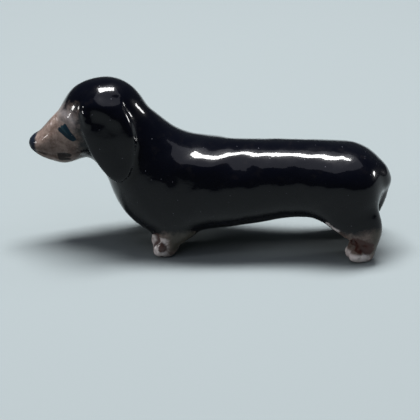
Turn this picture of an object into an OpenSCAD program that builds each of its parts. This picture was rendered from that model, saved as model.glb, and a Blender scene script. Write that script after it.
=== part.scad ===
// Small standing dachshund, slip cast in separate pieces, luted and glazed.
// Millimetres. Nose points to -X, feet rest on z = 0, the dog's left side is at -Y.

/* [Figurine] */
// Nose tip to the back of the tail
overall_length = 69; // [60:1:84]
// Sole to the top of the crown
crown_height = 34.4; // [31:0.2:38]

/* [Torso] */
// Sole to the level line of the back
back_height = 21.8; // [20.2:0.2:23]
// Gap under the deepest part of the chest
chest_clearance = 4.2; // [3.6:0.1:5.2]
// Rise of the belly line at the loin above the chest line
tuck_up = 2.8; // [1.6:0.1:3.6]
// Width across the shoulders
shoulder_width = 16.4; // [15:0.2:18]
// Width across the loin
loin_width = 14.0; // [12.8:0.2:15.4]
// Width across the haunches
haunch_width = 14.8; // [13.6:0.2:16]
// Cast wall left after the slip is poured out
cast_wall = 2.2; // [1.6:0.1:2.8]
// Firing vent under the belly
vent_d = 1.4; // [1:0.1:2]

/* [Head] */
// Width across the cheeks
skull_width = 10.8; // [9.8:0.2:12]
// Width of the muzzle behind the nose
muzzle_width = 5.2; // [4.4:0.1:6]
// Sole to the middle of the nose
nose_height = 20.6; // [19.6:0.2:21.6]
// Neck width at the cut between head and torso
neck_width = 12.6; // [11.4:0.2:13.6]
// Height of the moulded eye above the face
eye_relief = 0.16; // [0.1:0.02:0.3]

/* [Ears] */
// Root to tip, measured down the side of the head
ear_drop = 17.4; // [15:0.2:18.4]
// Front edge to back edge
ear_breadth = 9.2; // [8:0.2:10]
// Thickness of the ear lobe
ear_thickness = 2.0; // [1.6:0.1:2.4]

/* [Legs] */
// Middle of the figure to the middle of a paw
stance = 5.1; // [4.8:0.1:5.8]
// Length of a forepaw
forepaw_length = 5.8; // [5.2:0.1:6.6]
// Length of a hind paw
hindpaw_length = 6.2; // [5.6:0.1:7]
// Width of every paw
paw_width = 5.2; // [4.6:0.1:5.6]
// Width of the grooves between the toes
toe_groove = 0.5; // [0.3:0.05:0.6]

/* [Tail] */
// Length of the tail that hangs behind the rump
tail_length = 9.6; // [8:0.2:10.6]
// Tail thickness at its root
tail_root_d = 3.0; // [2.6:0.1:3.4]
// Tail thickness near its tip
tail_tip_d = 1.3; // [1:0.1:1.7]

/* [Mould detail] */
// Points around every section of the torso and head
section_points = 48; // [32:4:56]
// Smoothing steps between two ribs
rib_steps = 3; // [2:1:4]

/* [Hidden] */

nose_x = -overall_length / 2;
rump_x = overall_length / 2 - 1.3;
stretch = overall_length / 69;
shoulder = shoulder_width / 2;
loin = loin_width / 2;
haunch = haunch_width / 2;
skull = skull_width / 2;
muzzle = muzzle_width / 2;
back = back_height;
chest = chest_clearance;
belly = chest_clearance + tuck_up;
crown = crown_height;
foreleg_x = -8.2 * stretch;
hind_leg_x = 29.2 * stretch;
vent_x = 6 * stretch;
leg_points = 32;
ear_points = 28;
tail_points = 24;
black = [0.07, 0.07, 0.10];
tan_glaze = [0.62, 0.50, 0.38];

// A rib is [top x, top z, bottom x, bottom z, half width, squareness, lift of the widest line].
torso_ribs = [
  [rump_x,       back - 5.8,  rump_x - 0.4,  belly + 4.6,  1.7,        2.0, 0.0],
  [rump_x - 0.6, back - 3.7,  rump_x - 1.6,  belly + 2.0,  haunch * 0.60,  2.0, 0.0],
  [rump_x - 2.5, back - 1.7,  rump_x - 3.5,  belly + 0.8,  haunch * 0.86,  2.1, 0.0],
  [rump_x - 6.0, back - 0.3,  rump_x - 7.0,  belly,        haunch,         2.2, 0.0],
  [22.0 * stretch,    back,        21.0 * stretch,     belly,        haunch,         2.2, 0.0],
  [16.5 * stretch,    back + 0.1,  16.0 * stretch,     belly,        loin,         2.2, 0.0],
  [10.0 * stretch,    back,        9.6 * stretch,      belly - 1.4,  loin * 1.05,  2.2, 0.0],
  [3.5 * stretch,     back,        3.0 * stretch,      chest + 0.3,  shoulder * 0.96,  2.2, -0.05],
  [-2.0 * stretch,    back + 0.3,  -4.0 * stretch,     chest - 0.4,  shoulder,         2.3, -0.10],
  [-5.4 * stretch,    back + 1.6,  -10.8 * stretch,    chest - 0.7,  shoulder,         2.4, -0.20],
  [-8.0 * stretch,    back + 3.3,  -15.8 * stretch,    chest + 2.5,  shoulder * 0.92,  2.3, -0.20],
  [-9.8 * stretch,    back + 5.2,  -18.4 * stretch,    chest + 6.2,  neck_width / 2, 2.2, -0.10]
];
head_ribs = [
  [-11.5 * stretch,   crown - 5.9, -19.9 * stretch,    chest + 10.2, skull * 1.02,  2.0, 0.0],
  [-13.3 * stretch,   crown - 3.0, -21.6 * stretch,    chest + 12.7, skull * 0.98,  2.0, 0.1],
  [-15.6 * stretch,   crown - 0.9, -23.0 * stretch,    chest + 13.9, skull * 0.98,  2.0, 0.2],
  [-18.6 * stretch,   crown,       -24.2 * stretch,    chest + 14.0, skull,         2.1, 0.2],
  [-21.8 * stretch,   crown - 0.3, -25.4 * stretch,    chest + 13.6, skull * 0.98,  2.1, 0.1],
  [-24.8 * stretch,   crown - 1.5, -26.8 * stretch,    chest + 13.0, skull * 0.88,  2.1, 0.0],
  [-26.9 * stretch,   crown - 3.8, -28.2 * stretch,    chest + 12.7, skull * 0.72,  2.1, 0.0],
  [-28.5 * stretch,   crown - 6.6, -29.6 * stretch,    chest + 13.0, muzzle * 1.26,  2.1, 0.0],
  [-30.4 * stretch,   crown - 8.8, -31.1 * stretch,    nose_height - 2.9, muzzle * 1.10, 2.1, 0.0],
  [nose_x + 2.3, nose_height + 2.9, nose_x + 2.3, nose_height - 2.3, muzzle, 2.1, 0.0],
  [nose_x + 0.8, nose_height + 1.8, nose_x + 0.9, nose_height - 1.3, muzzle * 0.72, 2.1, 0.0],
  [nose_x,       nose_height + 0.8, nose_x,       nose_height - 0.5, muzzle * 0.3, 2.0, 0.0]
];

function blend(a, b, c, d, t) =
  0.5 * (2 * b + (c - a) * t + (2 * a - 5 * b + 4 * c - d) * t * t
         + (3 * b - a - 3 * c + d) * t * t * t);
function smooth(rows, steps) = let(m = len(rows) - 1) concat(
  [for (i = [0:m - 1]) for (s = [0:steps - 1])
    blend(rows[max(i - 1, 0)], rows[i], rows[i + 1], rows[min(i + 2, m)], s / steps)],
  [rows[m]]);
function spow(v, e) = sign(v) * pow(abs(v), e);

chain = smooth(concat(torso_ribs, head_ribs), rib_steps);
neck_at = (len(torso_ribs) - 1) * rib_steps;
torso_chain = [for (i = [0:neck_at]) chain[i]];
head_chain = [for (i = [neck_at:len(chain) - 1]) chain[i]];

// Outline of one rib; inset moves it inwards by the cast wall.
function section(r, n, inset = 0) = let(
    mid_x = (r[0] + r[2]) / 2, mid_z = (r[1] + r[3]) / 2,
    half_x = (r[0] - r[2]) / 2, half_z = (r[1] - r[3]) / 2,
    k = 1 - inset / norm([half_x, half_z]), w = r[4] - inset)
  [for (i = [0:n - 1]) let(
      t = 360 * i / n, c = spow(cos(t), 2 / r[5]), s0 = spow(sin(t), 2 / r[5]),
      s = s0 + r[6] * (1 - s0 * s0))
    [mid_x + half_x * k * s, w * c, mid_z + half_z * k * s]];

// Level outline of a leg, ear or tail: [centre x, centre y, z, half length, half width, squareness].
function level(r, n) = [for (i = [0:n - 1]) let(t = 360 * i / n)
  [r[0] + r[3] * spow(cos(t), 2 / r[5]), r[1] + r[4] * spow(sin(t), 2 / r[5]), r[2]]];

module loft(rings, flip = false) {
  n = len(rings[0]);
  m = len(rings);
  sides = [for (j = [0:m - 2]) for (i = [0:n - 1]) each [
    [j * n + i, j * n + (i + 1) % n, (j + 1) * n + i],
    [j * n + (i + 1) % n, (j + 1) * n + (i + 1) % n, (j + 1) * n + i]]];
  caps = [[for (i = [n - 1:-1:0]) i], [for (i = [0:n - 1]) (m - 1) * n + i]];
  polyhedron(points = [for (r = rings) each r], convexity = 6,
    faces = [for (f = concat(sides, caps)) flip ? [for (i = [len(f) - 1:-1:0]) f[i]] : f]);
}

module torso_form() { loft([for (r = torso_chain) section(r, section_points)]); }
module head_form() { loft([for (r = head_chain) section(r, section_points)]); }

module foreleg_form(side) {
  px = foreleg_x;
  hl = forepaw_length / 2;
  hw = paw_width / 2;
  y = side * stance;
  rows = [
    [px - 0.5, y * 0.97, 0,    hl - 1.0, hw - 0.5, 2.4],
    [px - 0.35, y * 0.97, 0.55, hl - 0.45, hw - 0.05, 2.4],
    [px - 0.2, y * 0.97, 1.5,  hl - 0.15, hw,      2.4],
    [px + 0.55, y * 0.97, 3.0, hl + 0.25, hw - 0.1, 2.3],
    [px + 1.65, y, 4.6,  hl + 1.05, hw - 0.1, 2.2],
    [px + 1.6, y, 6.6,  hl + 1.4, hw,       2.1],
    [px + 1.6, y * 0.97, 9.0, hl + 1.4, hw, 2.0],
    [px + 1.6, y * 0.9, 11.0, hl + 0.6, hw - 0.4, 2.0]];
  loft([for (r = smooth(rows, 2)) level(r, leg_points)], flip = true);
}
module hind_leg_form(side) {
  px = hind_leg_x;
  hl = hindpaw_length / 2;
  hw = paw_width / 2;
  y = side * stance;
  rows = [
    [px,       y * 0.95, 0,    hl - 0.8, hw - 0.5, 2.4],
    [px,       y * 0.95, 0.55, hl - 0.3, hw - 0.05, 2.4],
    [px,       y * 0.95, 1.5,  hl - 0.1, hw,       2.4],
    [px + 0.7, y * 0.96, 3.2,  hl - 0.4, hw - 0.2, 2.3],
    [px + 0.5, y, 4.8,  hl + 0.2, hw - 0.2, 2.4],
    [px - 0.6, y, 6.2,  hl + 1.8, hw - 0.1, 2.5],
    [px - 1.9, y, 8.2,  hl + 3.0, hw,       2.3],
    [px - 3.0, y, 10.8, hl + 3.3, hw - 0.1, 2.0],
    [px - 3.2, y * 0.93, 13.6, hl + 2.5, hw - 0.4, 2.0],
    [px - 3.0, y * 0.86, 16.2, hl + 1.0, hw - 0.6, 2.0]];
  loft([for (r = smooth(rows, 2)) level(r, leg_points)], flip = true);
}
module ear_form(side) {
  top = crown - 0.5;
  d = ear_drop;
  b = ear_breadth / 2;
  h = ear_thickness / 2;
  y = side * skull;
  rows = [
    [-18.8 * stretch, y * 0.43, top,            b * 0.30, h * 0.5, 2.0],
    [-19.3 * stretch, y * 0.59, top - d * 0.05, b * 0.66, h * 0.8, 2.0],
    [-19.6 * stretch, y * 0.79, top - d * 0.14, b * 0.82, h, 2.0],
    [-19.4 * stretch, y * 0.93, top - d * 0.30, b * 0.92, h, 2.0],
    [-18.7 * stretch, y * 1.055, top - d * 0.48, b,        h, 2.0],
    [-18.1 * stretch, y * 1.13, top - d * 0.66, b * 0.90, h, 2.0],
    [-17.3 * stretch, y * 1.20, top - d * 0.82, b * 0.70, h, 2.0],
    [-16.9 * stretch, y * 1.26, top - d * 0.93, b * 0.46, h * 0.85, 2.0],
    [-16.8 * stretch, y * 1.296, top - d,        b * 0.16, h * 0.4, 2.0]];
  loft([for (r = smooth(rows, 2)) level(r, ear_points)]);
}
module tail_form() {
  l = tail_length;
  a = tail_root_d / 2;
  e = tail_tip_d / 2;
  middle = (a + e) / 2 * 0.9;
  x = overall_length / 2 - a;
  z = back - 6.8;
  rows = [
    [x - 3.0,  0, z + 2.6,      a * 0.8,  a * 0.9,  2.0],
    [x - 1.4,  0, z + 1.6,      a,        a,        2.0],
    [x - 0.2,  0, z,            a,        a * 0.95, 2.0],
    [x + 0.05, 0, z - l * 0.25, a * 0.85, a * 0.85, 2.0],
    [x - 0.3,  0, z - l * 0.55, middle,   middle,   2.0],
    [x - 0.8,  0, z - l * 0.82, e,        e,        2.0],
    [x - 1.0,  0, z - l * 0.90, e * 0.5,  e * 0.5,  2.0]];
  loft([for (r = smooth(rows, 2)) level(r, tail_points)]);
}

// The space left inside the torso and the neck when the slip is poured out.
cavity_chain = smooth([for (i = [2:len(torso_ribs) + 4]) concat(torso_ribs, head_ribs)[i]], 2);
module cavity() { loft([for (r = cavity_chain) section(r, 24, cast_wall)]); }

// Oval bead on the face, long axis along X before it is turned.
module bead(at, size, turn) {
  rows = [for (k = [-1, -0.8, -0.4, 0, 0.4, 0.8, 1]) let(q = max(0.12, sqrt(1 - k * k)))
    [0, 0, size[2] * k, size[0] * q, size[1] * q, 2.0]];
  translate(at) rotate(turn) loft([for (r = rows) level(r, 16)], flip = true);
}
module eye_form(side)
  bead([-26.1 * stretch, side * (skull * 0.735 + eye_relief), crown - 8.8],
       [1.75, 0.7, 0.5], [90, 45, side * 31]);
module mouth_cut(side)
  bead([nose_x + 3.6, side * muzzle, nose_height - 1.0], [3.4, 0.35, 0.16], [0, 8, side * -9]);
module toe_cuts(side, px, hl)
  for (k = [-1, 0, 1])
    translate([px - hl - 0.12, side * stance * 0.96 + k * paw_width * 0.22, 0.45])
      rotate([0, 16, 0]) cylinder(d = toe_groove, h = 2.4, $fn = 12);

module torso() color(black) difference() {
  torso_form();
  cavity();
  translate([vent_x, 0, chest / 2]) cylinder(d = vent_d, h = chest + cast_wall + 1, $fn = 20);
}
module head() color(black) difference() {
  union() {
    head_form();
    eye_form(-1);
    eye_form(1);
    bead([nose_x + 1.2, 0, nose_height + 0.35], [1.15, 1.45, 1.35], [0, 0, 0]);
  }
  cavity();
  mouth_cut(-1);
  mouth_cut(1);
}
module ear(side) color(black) difference() {
  ear_form(side);
  head_form();
  torso_form();
}
module foreleg(side) color(tan_glaze) difference() {
  foreleg_form(side);
  torso_form();
  toe_cuts(side, foreleg_x, forepaw_length / 2);
}
module hind_leg(side) color(tan_glaze) difference() {
  hind_leg_form(side);
  torso_form();
  toe_cuts(side, hind_leg_x, hindpaw_length / 2);
}
module ear_left() ear(-1);
module ear_right() ear(1);
module foreleg_left() foreleg(-1);
module foreleg_right() foreleg(1);
module hind_leg_left() hind_leg(-1);
module hind_leg_right() hind_leg(1);
module tail() color(black) difference() {
  tail_form();
  torso_form();
}

torso();
head();
ear_left();
ear_right();
foreleg_left();
foreleg_right();
hind_leg_left();
hind_leg_right();
tail();
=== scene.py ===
import math
from functools import partial

import bpy
import numpy as np
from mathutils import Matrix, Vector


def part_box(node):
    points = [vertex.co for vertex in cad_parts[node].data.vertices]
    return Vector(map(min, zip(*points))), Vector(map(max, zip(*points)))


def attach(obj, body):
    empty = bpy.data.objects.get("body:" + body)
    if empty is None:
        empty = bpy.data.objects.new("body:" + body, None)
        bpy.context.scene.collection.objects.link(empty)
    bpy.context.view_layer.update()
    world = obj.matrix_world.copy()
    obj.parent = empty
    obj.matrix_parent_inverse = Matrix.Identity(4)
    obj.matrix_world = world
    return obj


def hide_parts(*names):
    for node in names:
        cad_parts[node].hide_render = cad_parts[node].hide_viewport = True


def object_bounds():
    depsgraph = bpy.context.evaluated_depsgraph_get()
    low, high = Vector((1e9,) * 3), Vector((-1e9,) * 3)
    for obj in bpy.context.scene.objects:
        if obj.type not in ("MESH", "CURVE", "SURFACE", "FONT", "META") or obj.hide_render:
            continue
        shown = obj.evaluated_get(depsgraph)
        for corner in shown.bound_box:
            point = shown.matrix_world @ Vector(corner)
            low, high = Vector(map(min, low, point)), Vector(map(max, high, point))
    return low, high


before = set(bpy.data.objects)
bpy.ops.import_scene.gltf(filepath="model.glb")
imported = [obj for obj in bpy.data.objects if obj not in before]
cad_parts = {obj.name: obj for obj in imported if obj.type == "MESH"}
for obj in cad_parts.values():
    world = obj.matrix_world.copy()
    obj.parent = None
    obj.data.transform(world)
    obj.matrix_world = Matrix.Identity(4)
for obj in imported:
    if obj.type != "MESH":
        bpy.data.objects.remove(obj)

import openvdb
from mathutils import Vector

# The figure is sculpted as one distance field in millimetres, cut into its castings where
# the CAD bodies meet, and each casting is meshed and glazed. Nose to -X, left side at -Y.

MM = 1000.0
CAD_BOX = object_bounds()
LOW, HIGH = (np.array(corner) * MM for corner in CAD_BOX)

PITCH = 0.22
REACH = 3.0
MARGIN = 6
ORIGIN = LOW - MARGIN * PITCH
SHAPE = tuple(int(n) for n in np.ceil((HIGH - LOW) / PITCH) + 2 * MARGIN + 1)
X = (ORIGIN[0] + PITCH * np.arange(SHAPE[0], dtype=np.float32))[:, None, None]
Y = (ORIGIN[1] + PITCH * np.arange(SHAPE[1], dtype=np.float32))[None, :, None]
Z = (ORIGIN[2] + PITCH * np.arange(SHAPE[2], dtype=np.float32))[None, None, :]
SIDE = np.abs(Y)

PIECES = ["torso", "head", "ear_left", "ear_right", "foreleg_left", "foreleg_right",
          "hind_leg_left", "hind_leg_right", "tail"]


def box_mm(node):
    """The low and the high corner of a CAD node."""
    low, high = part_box(node)
    return np.array(low) * MM, np.array(high) * MM


HEAD_LOW, HEAD_HIGH = box_mm("head")
EAR_LOW, EAR_HIGH = box_mm("ear_left")
TORSO_LOW, TORSO_HIGH = box_mm("torso")
TAIL_LOW, TAIL_HIGH = box_mm("tail")
FORE_LOW, _ = box_mm("foreleg_left")
HIND_LOW, HIND_HIGH = box_mm("hind_leg_left")
NOSE_X = HEAD_LOW[0]
CROWN_Z = HEAD_HIGH[2]

# The front of each paw and the middle of the left ones, out from the figure's middle. The
# hind paw starts behind the front of the haunch.
FORE_TOES_X = FORE_LOW[0]
HIND_TOES_X = HIND_LOW[0] + 6.2
PAW_Y = -FORE_LOW[1] - 2.7

# The round firing vent in the belly.
VENT_X = TORSO_LOW[0] + 24.4
VENT_R = 0.7
VENT_DEPTH = 2.4
BELLY_Z = TORSO_LOW[2] + 0.6


# --- Distance fields ---------------------------------------------------------------

def level_set(points, triangles=None, quads=None):
    """Distance to a closed surface at every lattice point, negative inside."""
    grid = openvdb.FloatGrid.createLevelSetFromPolygons(
        (points - ORIGIN).astype(np.float32), triangles=triangles, quads=quads,
        transform=openvdb.createLinearTransform(PITCH), halfWidth=REACH / PITCH)
    field = np.full(SHAPE, REACH, np.float32)
    grid.copyToArray(field)
    return field


def node_mesh(node):
    """The points, in millimetres, and the triangles of a CAD node."""
    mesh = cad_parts[node].data
    mesh.calc_loop_triangles()
    points = np.empty(len(mesh.vertices) * 3, np.float32)
    mesh.vertices.foreach_get("co", points)
    triangles = np.empty(len(mesh.loop_triangles) * 3, np.int32)
    mesh.loop_triangles.foreach_get("vertices", triangles)
    return points.reshape(-1, 3) * MM, triangles.reshape(-1, 3).astype(np.uint32)


def without_hollow(field):
    """The same casting with its inside filled: a hollow has wall on at least five of six sides."""
    solid = field < 0
    walls = np.zeros(SHAPE, np.int8)
    for axis in range(3):
        walls += np.maximum.accumulate(solid, axis)
        walls += np.flip(np.maximum.accumulate(np.flip(solid, axis), axis), axis)
    filled = np.where(~solid & (walls >= 5), -REACH, field)
    grid = openvdb.FloatGrid(REACH)
    grid.copyFromArray(filled)
    grid.transform = openvdb.createLinearTransform(PITCH)
    points, quads = grid.convertToQuads(0.0)
    return level_set(points + ORIGIN.astype(np.float32), quads=quads)


def blurred(field, sigma):
    """Gaussian blur, sigma in millimetres, cut off at 2.5 sigma."""
    reach = max(1, int(math.ceil(2.5 * sigma / PITCH)))
    taps = np.exp(-0.5 * (np.arange(-reach, reach + 1) * PITCH / sigma) ** 2)
    taps /= taps.sum()
    for axis in range(3):
        margins = [(reach, reach) if a == axis else (0, 0) for a in range(3)]
        padded = np.pad(field, margins, "edge")
        field = sum(tap * np.take(padded, range(i, i + field.shape[axis]), axis)
                    for i, tap in enumerate(taps.astype(np.float32)))
    return field


def joined(a, b, fillet):
    """Smooth union with a fillet of the given width; a negative width intersects instead."""
    share = np.clip(0.5 + 0.5 * (b - a) / fillet, 0, 1)
    return b + (a - b) * share - fillet * share * (1 - share)


def ramp(value, start, stop):
    """0 before start, 1 after stop, smooth between."""
    t = np.clip((value - start) / (stop - start), 0, 1)
    return t * t * (3 - 2 * t)


# --- Castings on the lattice -------------------------------------------------------

def main_part(mask, start):
    """The connected part of a mask around the lattice point with the flat index start."""
    reached = np.zeros_like(mask)
    reached.flat[start] = True
    size = 0
    while size != reached.sum():
        size = reached.sum()
        for axis in range(3):
            for step in (1, -1):
                here = np.moveaxis(reached, axis, 0)[::step]
                allowed = np.moveaxis(mask, axis, 0)[::step]
                for i in range(1, len(here)):
                    here[i] |= here[i - 1] & allowed[i]
    return reached


def fill_corners(label, most_rounds=12):
    """Changes the labels, in place, until no casting touches itself along an edge alone."""
    for _ in range(most_rounds):
        found = False
        for axis in range(3):
            for turn in (1, -1):
                plane = np.moveaxis(label, axis, 0)[:, ::turn]
                a, b = plane[:, :-1, :-1], plane[:, 1:, :-1]
                c, d = plane[:, :-1, 1:], plane[:, 1:, 1:]
                spots = np.argwhere((a == d) & (a > 0) & (b != a) & (c != a))
                for place in map(tuple, spots):
                    name = a[place]
                    if name == d[place] and name not in (0, b[place], c[place]):
                        filled = b if b[place] > 0 or c[place] == 0 else c
                        filled[place] = name
                        found = True
        if not found:
            break


def casting_numbers(field, raw):
    """The number of the casting at each lattice point, 0 outside: the nearest CAD body's."""
    away = np.stack([raw[name] for name in PIECES])
    label = np.argmin(away, 0).astype(np.int8) + 1
    label[field > 0] = 0
    for number, distance in enumerate(away, 1):
        mask = label == number
        stray = mask & ~main_part(mask, np.argmin(np.where(mask, distance, REACH)))
        distance[stray] = 2 * REACH
        label[stray] = np.argmin(away[:, stray], 0) + 1
    fill_corners(label)
    return label


# --- Extraction --------------------------------------------------------------------

def sample(field, points):
    """Trilinear value of a field at points in millimetres."""
    place = (points - ORIGIN) / PITCH
    base = np.clip(np.floor(place).astype(int), 0, np.array(SHAPE) - 2)
    part = place - base
    total = 0
    for corner in np.ndindex(2, 2, 2):
        weight = np.prod(np.where(corner, part, 1 - part), 1)
        total = total + weight * field[tuple((base + corner).T)]
    return total


def cell_points(field, label, cells, skin):
    """For each cell, the mean of the places where its edges pass from one label to another."""
    least_share = 0.02
    level = 1e-6
    total = np.zeros((len(cells), 3))
    count = np.zeros(len(cells))
    for axis in range(3):
        step = np.eye(3, dtype=int)[axis]
        others = [a for a in range(3) if a != axis]
        for u, v in np.ndindex(2, 2):
            start = np.zeros(3, int)
            start[others[0]], start[others[1]] = u, v
            a, b = tuple((cells + start).T), tuple((cells + start + step).T)
            la, lb = label[a], label[b]
            crossing = np.where(skin, (la == 0) != (lb == 0), la != lb)
            fa, fb = field[a], field[b]
            gap = np.where(np.abs(fa - fb) > level, fa - fb, 1)
            t = np.where(skin, np.clip(fa / gap, least_share, 1 - least_share), 0.5)
            total += np.where(crossing[:, None], cells + start + t[:, None] * step, 0)
            count += crossing
    return ORIGIN + PITCH * total / count[:, None]


def surface_nets(field, label):
    """One net of quads through every cell where labels differ.

    Returns the vertices, the quads, the labels in front of and behind each quad, and
    for each vertex 0 inside the figure, 1 on its skin and 2 on a seam between castings.
    """
    corners = [label[x:x + SHAPE[0] - 1, y:y + SHAPE[1] - 1, z:z + SHAPE[2] - 1]
               for x, y, z in np.ndindex(2, 2, 2)]
    low = np.minimum.reduce(corners)
    high = np.maximum.reduce(corners)
    cells = np.argwhere(low != high)
    index = np.full(low.shape, -1, np.int32)
    index[tuple(cells.T)] = np.arange(len(cells))
    skin = low[tuple(cells.T)] == 0
    names = np.stack([c[tuple(cells.T)] for c in corners], 1)
    solid = np.where(names == 0, len(PIECES) + 1, names)
    seam = skin & (solid.min(1) != names.max(1))
    quads, front, back = [], [], []
    for axis in range(3):
        step = np.eye(3, dtype=int)[axis]
        u, v = np.eye(3, dtype=int)[(axis + 1) % 3], np.eye(3, dtype=int)[(axis + 2) % 3]
        size = [n - s for n, s in zip(SHAPE, step)]
        here = label[:size[0], :size[1], :size[2]]
        there = label[step[0]:, step[1]:, step[2]:]
        at = np.argwhere(here != there)
        quads.append(np.stack([index[tuple(p.T)] for p in (at - u - v, at - v, at, at - u)], 1))
        back.append(here[tuple(at.T)])
        front.append(there[tuple(at.T)])
    return (cell_points(field, label, cells, skin), np.concatenate(quads),
            np.concatenate(front), np.concatenate(back), skin.astype(int) + seam)


def relaxed(points, quads, kind, field, slope, rounds=4):
    """Evens out the net: skin stays on the field's zero, seams run smoothly along it."""
    least_steepness = 0.2
    edges = np.concatenate([quads[:, [0, 1]], quads[:, [1, 2]], quads[:, [2, 3]], quads[:, [3, 0]]])
    edges = np.unique(np.sort(edges, 1), axis=0)
    edges = np.concatenate([edges, edges[:, ::-1]])
    edges = edges[kind[edges[:, 0]] >= kind[edges[:, 1]]]
    source, target = edges.T
    count = np.maximum(np.bincount(target, minlength=len(points)), 1)
    skin = kind > 0
    for _ in range(rounds):
        mean = np.stack([np.bincount(target, points[source, a], len(points)) for a in range(3)], 1)
        points = points + 0.5 * (mean / count[:, None] - points) * (count > 1)[:, None]
        for _ in range(2):
            p = points[skin]
            g = np.stack([sample(s, p) for s in slope], 1)
            value = sample(field, p)
            points[skin] = p - g * (value / np.maximum((g * g).sum(1), least_steepness))[:, None]
    return points


def casting(name, number, points, quads, front, back, slope):
    """The mesh object of one casting, a closed piece of the net."""
    outward = (back == number) & (front != number)
    inward = (front == number) & (back != number)
    faces = np.concatenate([quads[outward], quads[inward][:, ::-1]])
    bare = np.concatenate([front[outward], back[inward]]) == 0
    used, faces = np.unique(faces, return_inverse=True)
    faces = faces.reshape(-1, 4)
    mesh = bpy.data.meshes.new(name)
    mesh.from_pydata((points[used] / MM).tolist(), [], faces.tolist())
    normals = np.stack([sample(s, points[used]) for s in slope], 1)
    normals /= np.maximum(np.linalg.norm(normals, axis=1), 1e-9)[:, None]
    loops = np.where(np.repeat(bare, 4)[:, None], normals[faces.reshape(-1)], 0)
    mesh.polygons.foreach_set("use_smooth", bare)
    mesh.normals_split_custom_set(loops.tolist())
    piece = bpy.data.objects.new("glazed_" + name, mesh)
    bpy.context.scene.collection.objects.link(piece)
    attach(piece, "root")
    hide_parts(name)
    return piece


# --- Sculpting ---------------------------------------------------------------------

def face(back, out, down):
    """A place on the head: back from the nose tip, out from the middle, down from the crown."""
    return NOSE_X + back, out, CROWN_Z - down


def paw(toes_x, back, out, up):
    """A place on a paw: back from its toes, out from its middle, up from its sole."""
    return toes_x + back, PAW_Y + out, up


def line_distance(points):
    """Distance to a line through points, in millimetres, mirrored to both sides."""
    best = np.full(SHAPE, np.inf, np.float32)
    for a, b in zip(points[:-1], points[1:]):
        a, b = np.array(a, float), np.array(b, float)
        run = b - a
        t = ((X - a[0]) * run[0] + (SIDE - a[1]) * run[1] + (Z - a[2]) * run[2]) / run.dot(run)
        t = np.clip(t, 0, 1)
        away = ((X - a[0] - t * run[0]) ** 2 + (SIDE - a[1] - t * run[1]) ** 2
                + (Z - a[2] - t * run[2]) ** 2)
        best = np.minimum(best, np.sqrt(away))
    return best


def furrow(points, width, depth):
    """A soft furrow along a line; a negative depth raises a ridge."""
    return depth * np.exp(-(line_distance(points) / width) ** 2)


def furrows(lines):
    """All furrows of a table whose rows are the points, the width and the depth of one."""
    return sum(furrow(*line) for line in lines.values())


def muscles():
    """Shoulder, haunch and cheek swell a little under the glaze, and the flank sinks."""
    shoulder, hip = FORE_LOW[0] + 6.6, HIND_HIGH[0] - 7
    back = TORSO_HIGH[2] - 6
    return furrows({
        "shoulder": ([(shoulder, 6.0, back - 1.4), (shoulder + 5.5, 5.8, back - 1.1)], 2.4, -0.45),
        "behind it": ([(shoulder + 9.5, 5.4, back - 1.0), (shoulder + 11, 5.4, back - 1)], 2.2, 0.18),
        "haunch": ([(hip - 3, 6.4, back - 4.4), (hip + 2, 6.4, back - 4.8)], 3.2, -0.26),
        "flank": ([(shoulder + 11, 8, back - 6), (hip - 8, 8, back - 5)], 4.0, 0.16),
        "cheek": ([face(11.3, 4.6, 12.4), face(9.6, 4.3, 13.2)], 1.3, -0.16),
    })


def face_lines():
    """Everything that is raised or cut in the face."""
    return furrows({
        "brow": ([face(7.0, 2.7, 6.4), face(8.4, 3.9, 6.6), face(9.8, 4.8, 7.8)], 0.8, -0.22),
        "eye": ([face(6.9, 3.5, 7.9), face(9.9, 5.0, 10.3)], 0.35, -0.12),
        "lower lid": ([face(6.6, 3.3, 8.4), face(8.4, 4.4, 10.3)], 0.22, 0.12),
        "upper lid": ([face(7.6, 3.9, 7.2), face(10.0, 5.0, 9.3)], 0.22, 0.12),
        "nose pad": ([face(1.5, 0.4, 11.9), face(1.6, 1.7, 12.9),
                      face(1.3, 1.8, 14.6)], 0.24, 0.10),
        "nostril": ([face(0.2, 0.9, 13.9), face(0.5, 1.2, 13.6)], 0.26, 0.22),
        "mouth": ([face(1.3, 1.6, 14.5), face(3.0, 2.6, 14.3), face(4.3, 2.7, 14.9),
                   face(5.7, 3.1, 14.6), face(7.4, 3.6, 14.0)], 0.34, 0.30),
        "cheek fold": ([face(8.8, 4.7, 11.2), face(9.6, 4.4, 12.8),
                        face(10.5, 3.2, 14.6)], 0.9, 0.10),
        "side of the muzzle": ([face(2.4, 1.9, 11.4), face(5.4, 2.6, 9.4)], 0.8, 0.10),
        "lower lip": ([face(5.0, 2.6, 15.4), face(5.3, 2.6, 15.5)], 0.5, -0.20),
    })


def ear_lines():
    """A faint rim at the ear's root, the swell of the lobe and two bumps at its front edge."""
    top, front = EAR_HIGH[2], EAR_LOW[0]
    return furrows({
        "rim": ([(front + 1.2, 4.9, top - 3.0), (front + 3.4, 3.4, top - 0.9),
                 (front + 6.4, 3.2, top - 0.8)], 0.55, -0.06),
        "lobe": ([(front + 3.6, 5.0, top - 2.6), (front + 6.2, 5.6, top - 4.6)], 1.5, -0.34),
        "upper bump": ([(front + 0.9, 5.3, top - 4.3), (front + 0.95, 5.4, top - 4.7)], 0.45, -0.40),
        "lower bump": ([(front + 1.2, 5.7, top - 5.6), (front + 1.3, 5.8, top - 6.0)], 0.45, -0.35),
    })


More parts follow.
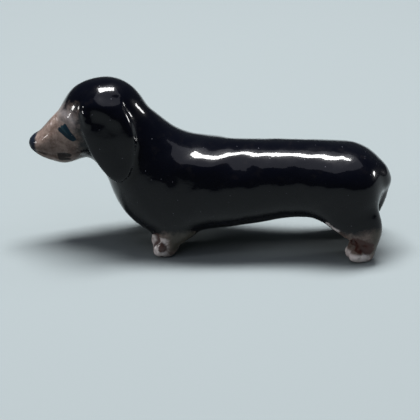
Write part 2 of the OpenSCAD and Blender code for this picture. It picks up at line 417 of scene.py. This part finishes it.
def toes(toes_x):
    """The furrows and swellings that make the toes of one pair of paws."""
    at = partial(paw, toes_x)
    shape = 0
    for out in (-1.3, 0.0):
        shape = shape + furrow([at(0.3, out, 0.2), at(0.1, out, 1.6), at(1.2, out, 3.2)], 0.36, 0.55)
    shape = shape + furrow([at(0.5, 1.2, 0.2), at(0.2, 1.1, 1.5), at(0.5, 1.2, 2.6),
                            at(1.5, 1.7, 3.6), at(1.2, 1.5, 5.0)], 0.44, 0.95)
    shape = shape + furrow([at(3.2, 2.3, 3.6), at(3.4, 2.6, 0.2)], 0.5, 0.55)
    toe, knuckle = (0.85, -0.50), (0.42, -0.22)
    for back, out, up, swelling in (
            (0.9, 0.4, 2.7, toe), (1.3, 2.0, 1.5, toe), (2.4, 2.4, 2.3, toe),
            (0.9, 2.1, 2.3, knuckle), (1.5, 2.6, 1.3, knuckle), (0.3, 0.6, 3.2, knuckle)):
        shape = shape + furrow([at(back, out, up), at(back + 0.1, out, up)], *swelling)
    return shape


def uneven_glaze():
    """The glaze pools and runs: a few slow waves, each a fixed phase after the one before."""
    phase = 2.4
    waves = 0
    for k, (a, b, c, size) in enumerate(((0.9, 0.3, 0.5, 0.020), (0.4, 1.1, -0.6, 0.016),
                                         (1.7, -0.8, 1.2, 0.008), (-1.3, 1.4, 1.6, 0.007))):
        waves = waves + size * np.sin(a * X + b * Y + c * Z + phase * k)
    return waves.astype(np.float32)


def body_field(raw):
    """Torso, head, legs and tail as one rounded body, with finer relief on face, paws and tail."""
    shell = without_hollow(np.minimum(raw["torso"], raw["head"]))
    limbs = np.minimum.reduce([raw[name] for name in PIECES if "leg" in name])
    field = joined(shell, limbs, 1.8)
    tail_fillet = 1.3 + 2.2 * ramp(Z, TAIL_HIGH[2] - 4.5, TAIL_HIGH[2] - 1.5)
    field = joined(field, raw["tail"], tail_fillet)
    on_head = ramp(-X, -HEAD_HIGH[0] + 5, -EAR_LOW[0])
    on_paw = 1 - ramp(Z, 3.5, 7.0)
    on_tail = ramp(X, TAIL_LOW[0] - 1, TAIL_LOW[0] + 1) * (1 - ramp(SIDE, 2.0, 3.5))
    fine = np.maximum.reduce(np.broadcast_arrays(on_head, on_paw, on_tail))
    field = blurred(field, 1.0) * (1 - fine) + blurred(field, 0.30) * fine
    field += muscles()
    return field


def with_ears(field, raw):
    """The ears laid on the body: sunk into it at the root, proud of it further down.

    The fillet between them is widest behind the ear, but not at the crown.
    """
    ears = blurred(np.minimum(raw["ear_left"], raw["ear_right"]), 0.22)
    proud = 3.5 * ramp(-Z, 0.3 - EAR_HIGH[2], 6.0 - EAR_HIGH[2]) - 0.5
    ears = joined(ears, field - proud, -0.6)
    behind = (ramp(X, EAR_LOW[0] + 5.0, EAR_HIGH[0] - 1.0)
              * ramp(Z, EAR_LOW[2] + 2.0, EAR_LOW[2] + 9.0)
              * ramp(-Z, 2.2 - EAR_HIGH[2], 6.0 - EAR_HIGH[2]))
    return joined(field, ears, 0.70 + 1.8 * behind)


def sculpted_field():
    """The whole figure's field and the casting that each lattice point belongs to."""
    raw = {name: level_set(*node_mesh(name)) for name in PIECES}
    field = with_ears(body_field(raw), raw)
    field += face_lines() + ear_lines() + uneven_glaze()
    field += toes(FORE_TOES_X) + toes(HIND_TOES_X)
    vent = np.maximum(np.hypot(X - VENT_X, Y) - VENT_R, Z - BELLY_Z - VENT_DEPTH)
    field = np.maximum(blurred(field, 0.16), -vent)
    label = casting_numbers(field, raw)
    just_inside = -0.01
    return np.where(label > 0, np.minimum(field, just_inside), field), label


FIELD, LABEL = sculpted_field()
SLOPE = [g.astype(np.float32) for g in np.gradient(FIELD, PITCH)]
ROUGH_POINTS, QUADS, FRONT, BACK, KIND = surface_nets(FIELD, LABEL)
POINTS = relaxed(ROUGH_POINTS, QUADS, KIND, FIELD, SLOPE)


# --- Glazes ------------------------------------------------------------------------

class Graph:
    """Short names for the nodes that the glazes are built from. Places are in millimetres."""

    def __init__(self, name):
        self.material = bpy.data.materials.new(name)
        self.material.use_nodes = True
        self.tree = self.material.node_tree
        self.shader = self.tree.nodes["Principled BSDF"]
        where = self.node("ShaderNodeTexCoord").outputs["Object"]
        self.place = self.vector("SCALE", where, scale=MM)
        self.x, y, self.z = self.node("ShaderNodeSeparateXYZ", self.place).outputs
        self.side = self.math("ABSOLUTE", y)
        fold = self.node("ShaderNodeCombineXYZ", self.x, self.side, self.z)
        self.folded = fold.outputs[0]
        self.blot = self.math("SUBTRACT", self.noise(1.1, 3), 0.5)

    def node(self, kind, *inputs, **settings):
        """A node with its first inputs fed and its settings made."""
        made = self.tree.nodes.new(kind)
        for key, value in settings.items():
            setattr(made, key, value)
        for socket, value in zip(made.inputs, inputs):
            self.feed(socket, value)
        return made

    def feed(self, socket, value):
        """Links an output to a socket, or sets a plain value on it."""
        if isinstance(value, bpy.types.NodeSocket):
            self.tree.links.new(value, socket)
        elif value is not None:
            socket.default_value = value

    def math(self, operation, a, b=None, c=None):
        return self.node("ShaderNodeMath", a, b, c, operation=operation).outputs[0]

    def vector(self, operation, a, b=None, scale=None):
        made = self.node("ShaderNodeVectorMath", a, b, operation=operation)
        if scale is not None:
            made.inputs["Scale"].default_value = scale
        return made.outputs["Value" if operation in ("LENGTH", "DOT_PRODUCT") else "Vector"]

    def ramp(self, value, start, stop):
        """0 where value is at start, 1 where it is at stop, smooth between."""
        made = self.node("ShaderNodeMapRange", interpolation_type="SMOOTHSTEP")
        flip = start > stop
        low, high = (stop, start) if flip else (start, stop)
        for key, v in (("Value", value), ("From Min", low), ("From Max", high),
                       ("To Min", float(flip)), ("To Max", float(not flip))):
            self.feed(made.inputs[key], v)
        return made.outputs["Result"]

    def mix(self, share, a, b):
        """Colour a, turning to b as share goes from 0 to 1, by the node's colour sockets."""
        made = self.node("ShaderNodeMix", data_type="RGBA")
        for key, v in ((0, share), (6, a), (7, b)):
            self.feed(made.inputs[key], v)
        return made.outputs[2]

    def noise(self, scale, detail):
        """Noise from 0 to 1 around 0.5; scale is in features per millimetre."""
        made = self.node("ShaderNodeTexNoise")
        self.feed(made.inputs["Vector"], self.place)
        made.inputs["Scale"].default_value = scale
        made.inputs["Detail"].default_value = detail
        return made.outputs["Fac"]

    def stroke(self, a, b, radius, edge, wobble=0.0):
        """1 on a painted stroke from a to b on both sides of the figure, fading over edge."""
        a, b = Vector(a), Vector(b)
        run = b - a
        off = self.vector("SUBTRACT", self.folded, tuple(a))
        t = self.math("DIVIDE", self.vector("DOT_PRODUCT", off, tuple(run)), run.length_squared)
        t = self.math("MINIMUM", self.math("MAXIMUM", t, 0.0), 1.0)
        along = self.node("ShaderNodeVectorMath", tuple(run), operation="SCALE")
        self.feed(along.inputs["Scale"], t)
        away = self.vector("LENGTH", self.vector("SUBTRACT", off, along.outputs["Vector"]))
        if wobble:
            away = self.math("ADD", away, self.math("MULTIPLY", self.blot, wobble))
        return self.ramp(away, radius + edge, radius - edge)

    def most(self, *values):
        """The greatest of some values."""
        total = values[0]
        for v in values[1:]:
            total = self.math("MAXIMUM", total, v)
        return total


BLACK = (0.0006, 0.0008, 0.0022, 1)
SOOT = (0.0042, 0.0036, 0.0042, 1)
SLATE = (0.13, 0.13, 0.14, 1)
TAN = (0.088, 0.062, 0.051, 1)
SAND = (0.148, 0.114, 0.098, 1)
PINK = (0.175, 0.128, 0.117, 1)
CREAM = (0.60, 0.53, 0.52, 1)
# The olive below is the painted shade on the back of the paws.
SHADE_OLIVE = (0.038, 0.036, 0.028, 1)
UMBER = (0.020, 0.0075, 0.0060, 1)
RUST = (0.038, 0.0105, 0.0075, 1)
INK = (0.0020, 0.0110, 0.019, 1)
# The teal below is the painted reflection in the eye.
SHEEN_TEAL = (0.0070, 0.0240, 0.034, 1)
NAVY = (0.0045, 0.0070, 0.0125, 1)
BISCUIT = (0.36, 0.33, 0.30, 1)
PIT = (0.20, 0.20, 0.24, 1)

# The clear glaze over the colours, the same on every piece.
CLEAR_GLAZE = {"Specular IOR Level": 0.05, "Coat Weight": 1.0, "Coat Roughness": 0.025,
               "Coat IOR": 1.27}

# How high, in millimetres, the glaze's waves and ripples stand and how deep its pits are.
WAVE_HEIGHT = 0.020
RIPPLE_HEIGHT = 0.0016
PIT_DEPTH = 0.012


def black_glaze(g):
    """Black with thin, slightly brown breaks."""
    thin = g.ramp(g.noise(0.55, 3), 0.56, 0.74)
    return g.mix(g.math("MULTIPLY", thin, 0.35), BLACK, SOOT)


def pinholes(g):
    """Tiny bright pits where bubbles broke through the glaze, in some of the cells."""
    cells = g.node("ShaderNodeTexVoronoi")
    g.feed(cells.inputs["Vector"], g.place)
    cells.inputs["Scale"].default_value = 0.95
    spot = g.ramp(cells.outputs["Distance"], 0.085, 0.045)
    pick = g.node("ShaderNodeSeparateColor", cells.outputs["Color"]).outputs[0]
    return g.math("MULTIPLY", spot, g.ramp(pick, 0.62, 0.64))


def tan_glaze(g, pale):
    """Tan brushed over a pale body, mottled; pale runs from 0 to 1."""
    mottle = g.ramp(g.noise(0.8, 5), 0.36, 0.66)
    grain = g.ramp(g.noise(2.6, 4), 0.42, 0.66)
    fleck = g.ramp(g.noise(5.0, 3), 0.60, 0.72)
    warm = g.mix(mottle, TAN, SAND)
    warm = g.mix(g.math("MULTIPLY", grain, 0.5), warm, PINK)
    warm = g.mix(g.math("MULTIPLY", fleck, 0.35), warm, UMBER)
    patch = g.ramp(g.math("ADD", pale, g.math("MULTIPLY", g.blot, 1.4)), 0.25, 1.05)
    return g.mix(patch, warm, CREAM)


def glaze(name, paint):
    """A material under one clear glossy glaze.

    paint(graph) gives its colour and how dull each place is, or None for glossy all over.
    """
    g = Graph(name)
    colour, dull = paint(g)
    pits = pinholes(g)
    inputs = g.shader.inputs
    for key, value in CLEAR_GLAZE.items():
        inputs[key].default_value = value
    g.feed(inputs["Base Color"], g.mix(g.math("MULTIPLY", pits, 0.5), colour, PIT))
    smear = g.ramp(g.noise(0.35, 2), 0.35, 0.75)
    rough = g.math("ADD", 0.20, g.math("MULTIPLY", smear, 0.12))
    if dull is not None:
        rough = g.math("MAXIMUM", rough, g.math("MULTIPLY", dull, 0.85))
        g.feed(inputs["Coat Weight"], g.math("SUBTRACT", 1.0, dull))
    g.feed(inputs["Roughness"], rough)
    waves = g.math("MULTIPLY", g.noise(0.8, 2), WAVE_HEIGHT)
    ripples = g.math("MULTIPLY", g.noise(3.0, 2), RIPPLE_HEIGHT)
    depth = g.math("MULTIPLY", pits, PIT_DEPTH)
    height = g.math("SUBTRACT", g.math("ADD", waves, ripples), depth)
    bump = g.node("ShaderNodeBump")
    bump.inputs["Distance"].default_value = 1 / MM
    bump.inputs["Strength"].default_value = 1.0
    g.feed(bump.inputs["Height"], height)
    g.feed(inputs["Normal"], bump.outputs["Normal"])
    g.feed(inputs["Coat Normal"], bump.outputs["Normal"])
    return g.material


def paint_body(g):
    """Black and glossy all over."""
    return black_glaze(g), None


def paint_head(g):
    """Tan face with painted eye, nose and mouth, airbrushed into the black crown."""
    wisp = g.math("MULTIPLY", g.blot, 3.0)
    ahead = g.math("ADD", g.math("SUBTRACT", EAR_LOW[0] - 0.2, g.x), wisp)
    brow_slope = 0.25
    brow = g.math("MULTIPLY_ADD", g.x, brow_slope, CROWN_Z - 3.8 - brow_slope * EAR_LOW[0])
    under = g.math("ADD", g.math("SUBTRACT", brow, g.z), wisp)
    tan = g.math("MULTIPLY", g.ramp(ahead, -0.8, 2.0), g.ramp(under, -1.0, 1.8))
    # Paler cream on the bridge of the muzzle and over the brow: painted highlight where light falls
    # on them.
    pale = g.most(
        g.math("MULTIPLY", g.stroke(face(2.4, 0.8, 11.6), face(6.2, 2.0, 7.4), 0.4, 1.5), 0.45),
        g.math("MULTIPLY", g.stroke(face(8.2, 3.4, 6.4), face(10.2, 4.9, 8.4), 0.3, 1.5), 0.40))
    skin = tan_glaze(g, pale)
    grey = g.stroke(face(7.2, 2.6, 5.4), face(9.6, 4.9, 6.6), 1.0, 2.2, 2.0)
    skin = g.mix(g.math("MULTIPLY", grey, 0.75), skin, SLATE)
    brown = g.math("MULTIPLY", g.most(
        g.stroke(face(4.0, 2.4, 13.6), face(7.8, 3.4, 13.2), 0.4, 1.5, 1.5),
        g.stroke(face(8.6, 4.7, 12.4), face(10.6, 3.2, 14.8), 0.5, 1.2, 1.0),
        g.stroke(face(3.2, 2.4, 14.9), face(5.4, 3.0, 15.1), 0.20, 0.35, 0.5),
        g.stroke(face(5.6, 3.0, 10.2), face(5.3, 2.9, 9.6), 0.10, 0.25)), 0.7)
    skin = g.mix(brown, skin, UMBER)
    colour = g.mix(tan, black_glaze(g), skin)
    # Soot on the bridge of the nose, two touches at the corner of the mouth, and the lips.
    soot = g.most(
        g.stroke(face(0.6, 0, 12.4), face(4.2, 0, 8.8), 0.30, 0.75, 0.6),
        g.stroke(face(6.2, 3.2, 14.6), face(8.1, 3.9, 14.0), 0.60, 0.16, 0.5),
        g.stroke(face(6.4, 2.6, 15.4), face(7.8, 3.0, 15.1), 0.60, 0.20, 0.6),
        g.stroke(face(1.6, 2.0, 14.4), face(4.3, 2.7, 14.9), 0.16, 0.22),
        g.stroke(face(4.3, 2.7, 14.9), face(6.4, 3.3, 14.6), 0.16, 0.22))
    colour = g.mix(g.math("MULTIPLY", soot, 0.9), colour, SOOT)
    nose = g.ramp(g.math("ADD", g.x, g.math("MULTIPLY", g.blot, 0.5)), NOSE_X + 1.9, NOSE_X + 1.3)
    colour = g.mix(nose, colour, NAVY)
    # A paler teal band through the eye: a painted reflection, the eye's wet sheen.
    painted_eye_sheen = g.stroke(face(7.35, 3.8, 8.5), face(9.1, 5.05, 10.0), 0.66, 0.10, 0.15)
    eye = g.most(g.stroke(face(6.6, 3.4, 8.9), face(9.0, 5.0, 10.25), 0.42, 0.10, 0.2),
                 g.stroke(face(7.8, 4.0, 7.9), face(9.4, 5.1, 10.0), 0.46, 0.10, 0.15))
    colour = g.mix(painted_eye_sheen, colour, SHEEN_TEAL)
    dull = g.math("MULTIPLY", g.most(eye, painted_eye_sheen, soot, nose), 0.8)
    dull = g.most(dull, g.math("MULTIPLY", tan, 0.65))
    return g.mix(eye, colour, INK), dull


def paint_leg(g, toes_x, height, pale_height, heel):
    """Tan paw under a black leg.

    height is where the black ends, pale_height how high the pale toes reach, and heel how
    far back from the front of the paw it turns olive with painted shade.
    """
    back = g.math("SUBTRACT", g.x, toes_x)
    inside = g.ramp(g.side, PAW_Y + 0.9, PAW_Y - 0.9)
    rise = g.math("MULTIPLY_ADD", inside, 1.6, height)
    edge = g.math("ADD", g.math("MULTIPLY", g.blot, 2.0), rise)
    edge = g.math("ADD", edge, g.math("MULTIPLY", g.ramp(back, 0.0, 5.5), 0.8))
    tan = g.ramp(g.math("SUBTRACT", g.z, edge), 1.3, -0.7)
    rim = g.math("ADD", g.z, g.math("MULTIPLY", g.blot, 1.5))
    pale = g.math("MULTIPLY", g.ramp(rim, pale_height + 0.5, pale_height - 0.7),
                  g.ramp(back, heel + 1.2, heel - 1.0))
    skin = tan_glaze(g, g.math("MULTIPLY", pale, 0.9))
    # Olive painted shade on the back of the paw, above the sole.
    painted_shade = g.math("MULTIPLY", g.ramp(back, heel - 0.8, heel + 1.0), g.ramp(g.z, 0.6, 2.4))
    skin = g.mix(g.math("MULTIPLY", painted_shade, 0.85), skin, SHADE_OLIVE)
    return g.mix(tan, black_glaze(g), skin)


def unglazed(g, colour):
    """Wipes the glaze off the soles and gives the colour and how dull each place is."""
    sole = g.ramp(g.z, 0.16, 0.08)
    return g.mix(sole, colour, BISCUIT), sole


def paint_foreleg(g):
    """Rust brown on the outer toe; under it and in the deep furrow beside it the same rust brown is
    painted shade.
    """
    at = partial(paw, FORE_TOES_X)
    colour = paint_leg(g, FORE_TOES_X, 4.9, 4.8, 3.6)
    # The first stroke is a rust-brown patch on the toe. The other three are painted shade: a painted
    # shadow under the toe and darkening down the deep furrow.
    rust = g.most(g.stroke(at(2.2, 2.6, 2.9), at(2.5, 2.7, 2.4), 0.85, 0.25, 1.2),
                  g.stroke(at(2.3, 2.6, 0.3), at(3.6, 2.6, 0.5), 0.35, 0.2, 0.5),
                  g.stroke(at(0.2, 1.1, 1.5), at(1.5, 1.7, 3.6), 0.46, 0.20),
                  g.stroke(at(1.2, 1.5, 5.2), at(1.5, 1.7, 3.6), 0.60, 0.25))
    return unglazed(g, g.mix(g.math("MULTIPLY", rust, 0.92), colour, RUST))


def paint_hind_leg(g):
    """Rust on the outer toe and a pale streak where the haunch meets the belly."""
    at = partial(paw, HIND_TOES_X)
    colour = paint_leg(g, HIND_TOES_X, 6.2, 2.4, 4.4)
    rust = g.stroke(at(1.4, 2.3, 4.3), at(3.7, 2.5, 3.5), 1.45, 0.30, 1.6)
    colour = g.mix(g.math("MULTIPLY", rust, 0.9), colour, RUST)
    streak = g.stroke((HIND_LOW[0] + 2.2, 6.6, 8.3), (HIND_LOW[0] + 4.2, 7.1, 7.0), 0.35, 0.45, 1.2)
    return unglazed(g, g.mix(g.math("MULTIPLY", streak, 0.85), colour, CREAM))


GLAZES = {
    "torso": glaze("black_glaze", paint_body),
    "head": glaze("face_glaze", paint_head),
    "foreleg": glaze("foreleg_glaze", paint_foreleg),
    "hind_leg": glaze("hind_leg_glaze", paint_hind_leg),
}


def glaze_of(name):
    """The glaze of a casting. Ears and tail are black like the torso."""
    for part, material in GLAZES.items():
        if name.startswith(part):
            return material
    return GLAZES["torso"]


for number, name in enumerate(PIECES, 1):
    made = casting(name, number, POINTS, QUADS, FRONT, BACK, SLOPE)
    made.data.materials.append(glaze_of(name))


# --- Floor, camera and light -------------------------------------------------------

def add_floor(half, colour):
    """A square floor that reaches half metres to each side."""
    mesh = bpy.data.meshes.new("floor")
    corners = [(-half, -half, 0), (half, -half, 0), (half, half, 0), (-half, half, 0)]
    mesh.from_pydata(corners, [], [(0, 1, 2, 3)])
    floor = bpy.data.objects.new("floor", mesh)
    bpy.context.scene.collection.objects.link(floor)
    material = bpy.data.materials.new("floor")
    material.use_nodes = True
    shader = material.node_tree.nodes["Principled BSDF"]
    shader.inputs["Base Color"].default_value = colour
    shader.inputs["Roughness"].default_value = 0.9
    mesh.materials.append(material)


def aim(obj, at):
    """Turns a camera or a light towards a place."""
    obj.rotation_mode = "QUATERNION"
    obj.rotation_quaternion = (Vector(at) - obj.location).to_track_quat("-Z", "Y")


def add_camera(azimuth, elevation, distance, field_of_view, target):
    """A camera at a distance from its target; azimuth 0 looks at the dog's left side."""
    data = bpy.data.cameras.new("camera")
    data.sensor_width = 36
    data.lens = data.sensor_width / 2 / math.tan(math.radians(field_of_view / 2))
    data.clip_start = 0.01
    camera = bpy.data.objects.new("camera", data)
    bpy.context.scene.collection.objects.link(camera)
    a, e = math.radians(azimuth), math.radians(elevation)
    back = Vector((math.sin(a) * math.cos(e), -math.cos(a) * math.cos(e), math.sin(e)))
    camera.location = Vector(target) + distance * back
    aim(camera, target)
    bpy.context.scene.camera = camera


def add_panel(name, place, at, size, energy, colour=(1, 1, 1)):
    """A soft rectangular light in metres and watts."""
    data = bpy.data.lights.new(name, "AREA")
    data.shape = "RECTANGLE"
    data.size, data.size_y = size
    data.energy = energy
    data.color = colour
    light = bpy.data.objects.new(name, data)
    bpy.context.scene.collection.objects.link(light)
    light.location = place
    aim(light, at)


def add_world(colour, strength):
    world = bpy.data.worlds.new("world")
    world.use_nodes = True
    background = world.node_tree.nodes["Background"]
    background.inputs["Color"].default_value = colour
    background.inputs["Strength"].default_value = strength
    bpy.context.scene.world = world


add_floor(1.5, (0.145, 0.167, 0.172, 1))
add_camera(3.0, 31.0, 0.26, 17.9, (0, 0, 0.0068))
add_panel("strip", (-0.03, 0.09, 0.6), (0, 0, 0.01), (0.40, 0.125), 12.0)
add_panel("ceiling", (0.05, -0.05, 0.8), (0, 0, 0.01), (0.9, 0.8), 2.6, (0.85, 0.87, 1.0))
add_panel("lamp", (0.57, 0.10, 0.156), (0.01, 0, 0.01), (0.08, 0.08), 1.0)
add_panel("side", (-0.56, -0.15, 0.16), (-0.01, 0, 0.01), (0.07, 0.07), 0.85)
add_world((0.6, 0.68, 0.72, 1), 0.10)
bpy.context.scene.view_settings.view_transform = "Standard"
